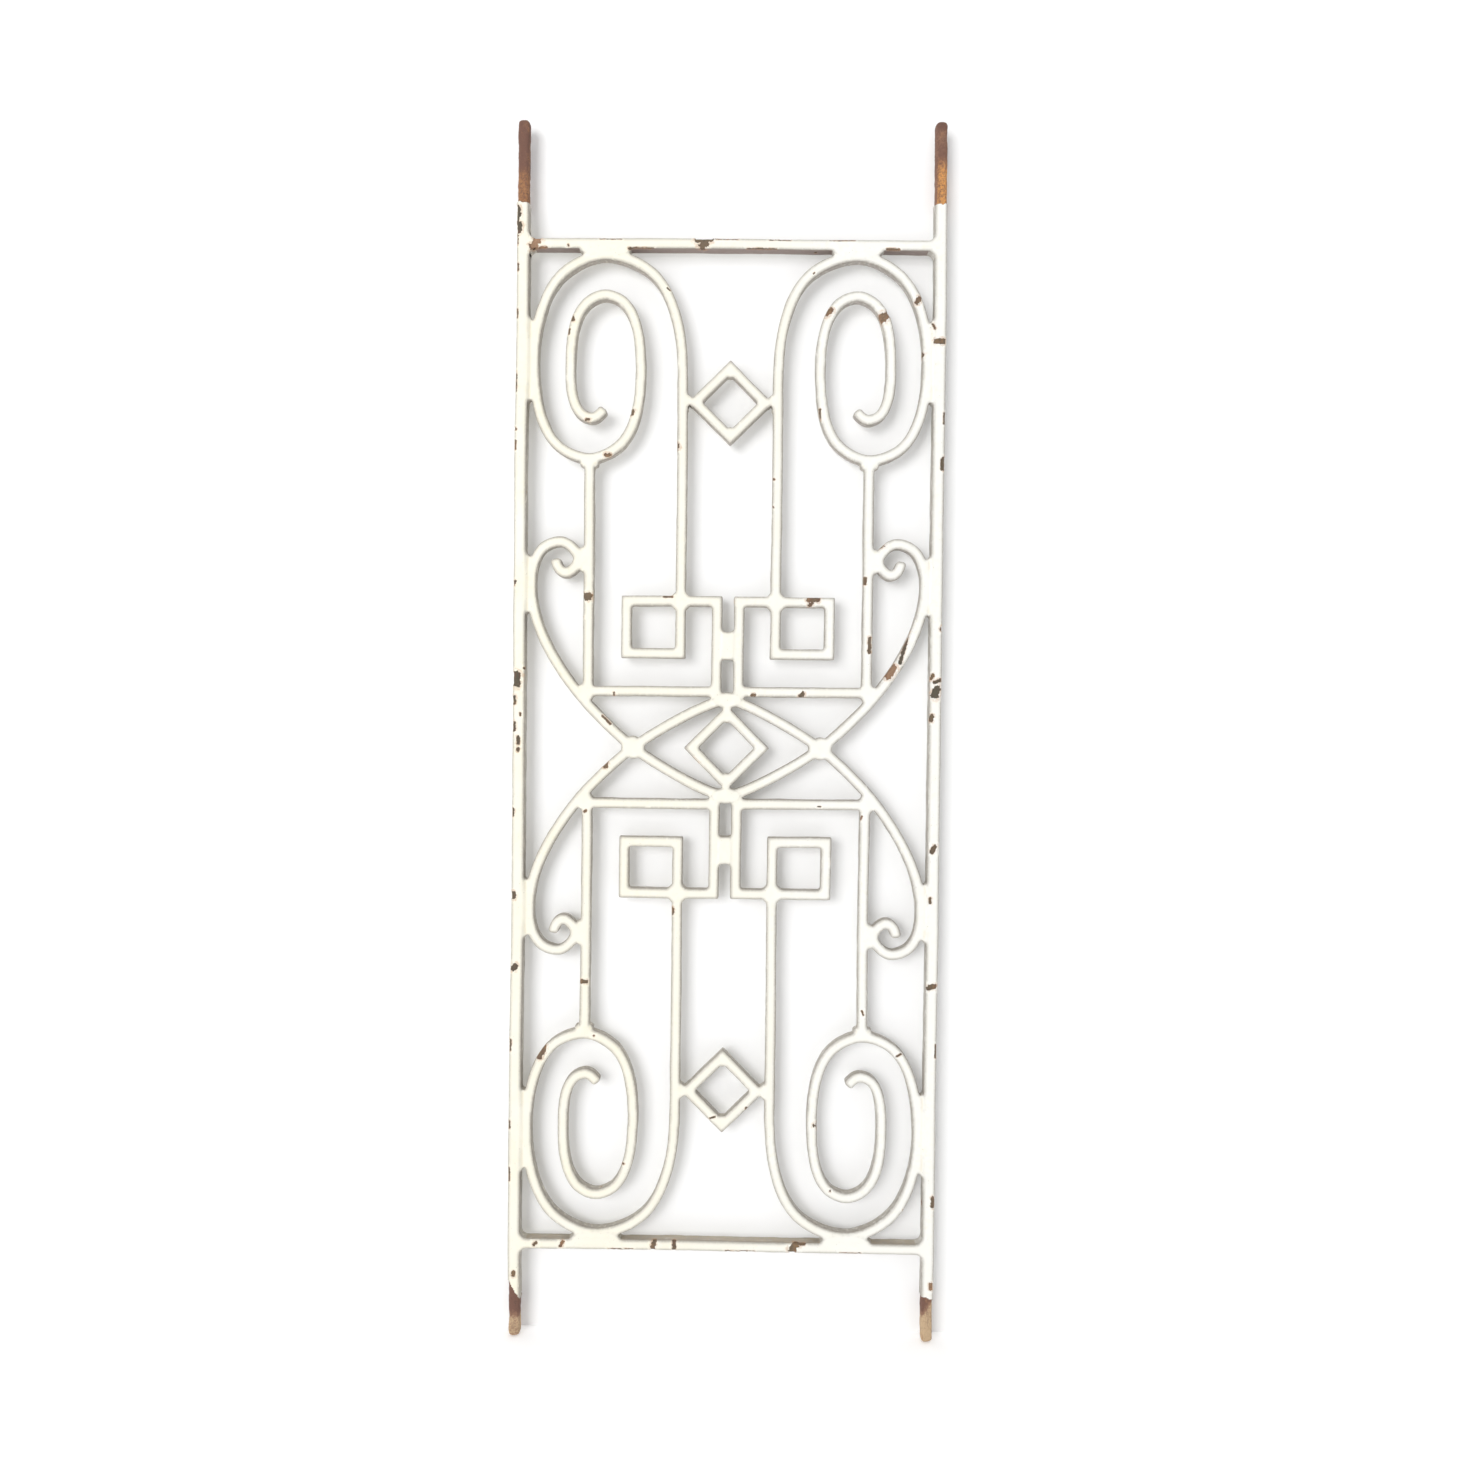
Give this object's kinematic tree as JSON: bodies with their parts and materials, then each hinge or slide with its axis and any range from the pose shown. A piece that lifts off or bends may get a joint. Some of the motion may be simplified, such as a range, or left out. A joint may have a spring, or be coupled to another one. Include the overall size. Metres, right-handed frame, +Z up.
{
  "type": "window security bar",
  "caption": "Fixed window security grille of welded square iron bar, with scrolls, square meanders, crossing C-arcs and diamonds, and bare stubs for the masonry.",
  "frame": {"origin": "midway between the two lower stub ends, at mid depth", "axes": "+X to the right seen from outside, +Z up, -Y the outside face"},
  "size_m": [0.427, 0.012, 1.218],
  "materials": {
    "stile": "thick cream paint, chipped, over rusted iron; bare rust on the stubs",
    "rail": "thick cream paint, chipped along its edges",
    "infill": "thick cream paint with small chips to the iron",
    "weld": "lumpy weld bead under thick cream paint"
  },
  "bodies": {
    "root": {"left_stile": "stile", "right_stile": "stile", "top_rail": "rail", "bottom_rail": "rail", "upper_left_scroll": "infill", "upper_left_key_base": "infill", "upper_left_key_side": "infill", "upper_left_key_top": "infill", "upper_left_key_link": "infill", "upper_left_key_upright": "infill", "upper_left_key_rung": "infill", "upper_left_leg": "infill", "upper_right_scroll": "infill", "upper_right_key_base": "infill", "upper_right_key_side": "infill", "upper_right_key_top": "infill", "upper_right_key_link": "infill", "upper_right_key_upright": "infill", "upper_right_key_rung": "infill", "upper_right_leg": "infill", "lower_left_scroll": "infill", "lower_left_key_base": "infill", "lower_left_key_side": "infill", "lower_left_key_top": "infill", "lower_left_key_link": "infill", "lower_left_key_upright": "infill", "lower_left_key_rung": "infill", "lower_left_leg": "infill", "lower_right_scroll": "infill", "lower_right_key_base": "infill", "lower_right_key_side": "infill", "lower_right_key_top": "infill", "lower_right_key_link": "infill", "lower_right_key_upright": "infill", "lower_right_key_rung": "infill", "lower_right_leg": "infill", "upper_arc": "infill", "lower_arc_left": "infill", "lower_arc_middle": "infill", "lower_arc_right": "infill", "upper_diamond_left": "infill", "upper_diamond_right": "infill", "centre_diamond_left": "infill", "centre_diamond_right": "infill", "lower_diamond_left": "infill", "lower_diamond_right": "infill", "frame_corner_welds": "weld", "scroll_rail_welds": "weld", "scroll_stile_welds": "weld", "leg_scroll_welds": "weld", "arc_stile_welds": "weld", "curl_leg_welds": "weld", "arc_corner_welds": "weld", "arc_crossing_welds": "weld", "key_bridge_welds": "weld", "key_cross_welds": "weld", "centre_node_welds": "weld", "diamond_stem_welds": "weld", "diamond_tip_welds": "weld"}
  },
  "joints": []
}
